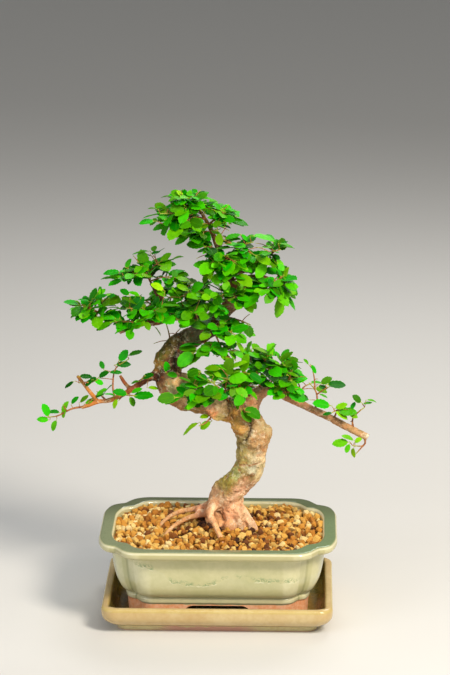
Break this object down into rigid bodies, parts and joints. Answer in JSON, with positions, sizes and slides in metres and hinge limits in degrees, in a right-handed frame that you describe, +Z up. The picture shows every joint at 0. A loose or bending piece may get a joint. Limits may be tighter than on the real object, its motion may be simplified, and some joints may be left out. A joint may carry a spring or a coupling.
{
  "type": "chinese elm bonsai",
  "caption": "Small elm tree with a double-curved trunk, surface roots and leafy twigs, growing in clay granules in a glazed lobed-corner pot on a glazed drip saucer.",
  "frame": {"origin": "middle of the saucer's flat underside, on the surface that it stands on", "axes": "+Z up; -Y towards the front of the tree; +X to the right seen from the front"},
  "size_m": [0.2927, 0.153, 0.3704],
  "materials": {
    "saucer_glaze": "gloss ochre glaze on stoneware",
    "pot_glaze": "gloss celadon glaze on terracotta",
    "mesh_plastic": "moulded mesh",
    "clay_granules": "baked clay granules",
    "bark": "smooth mottled bark",
    "elm_leaf": "waxy leaf"
  },
  "bodies": {
    "root": {"saucer": "saucer_glaze", "pot": "pot_glaze", "drain_screen_left": "mesh_plastic", "drain_screen_right": "mesh_plastic", "soil": "clay_granules", "trunk": "bark", "spray_apex_top": "elm_leaf", "spray_apex_left": "elm_leaf", "spray_apex_low_left": "elm_leaf", "spray_apex_right": "elm_leaf", "spray_upper_left": "elm_leaf", "spray_upper_front": "elm_leaf", "spray_upper_right": "elm_leaf", "spray_right_up": "elm_leaf", "spray_right_mid": "elm_leaf", "spray_centre_up": "elm_leaf", "spray_up_left": "elm_leaf", "spray_mid_left_tip": "elm_leaf", "spray_mid_left_front": "elm_leaf", "spray_mid_left_big": "elm_leaf", "spray_mid_left_low": "elm_leaf", "spray_mid_left_back": "elm_leaf", "spray_mid_centre_left": "elm_leaf", "spray_centre_left_up": "elm_leaf", "spray_centre_front": "elm_leaf", "spray_centre_right": "elm_leaf", "spray_centre_low": "elm_leaf", "spray_centre_low_right": "elm_leaf", "spray_centre_low_left": "elm_leaf", "spray_centre_under": "elm_leaf", "spray_pad_right_top": "elm_leaf", "spray_pad_right_mid": "elm_leaf", "spray_pad_right_outer": "elm_leaf", "spray_low_centre": "elm_leaf", "spray_low_centre_up": "elm_leaf", "spray_low_centre_left": "elm_leaf", "spray_low_centre_right": "elm_leaf", "spray_low_front": "elm_leaf", "spray_stub_shoot": "elm_leaf", "spray_elbow_shoot": "elm_leaf", "spray_left_inner": "elm_leaf", "spray_left_low": "elm_leaf", "spray_left_up_inner": "elm_leaf", "spray_left_up_outer": "elm_leaf", "spray_left_back": "elm_leaf", "spray_left_tip": "elm_leaf", "spray_right_twig_inner": "elm_leaf", "spray_right_twig_mid": "elm_leaf", "spray_right_twig_outer": "elm_leaf", "spray_right_hang": "elm_leaf", "spray_back_centre": "elm_leaf", "spray_back_low": "elm_leaf", "spray_back_right": "elm_leaf", "spray_back_top": "elm_leaf", "spray_back_apex": "elm_leaf", "spray_back_up": "elm_leaf", "spray_back_left": "elm_leaf", "spray_back_elbow": "elm_leaf", "spray_back_outer": "elm_leaf"}
  },
  "joints": []
}
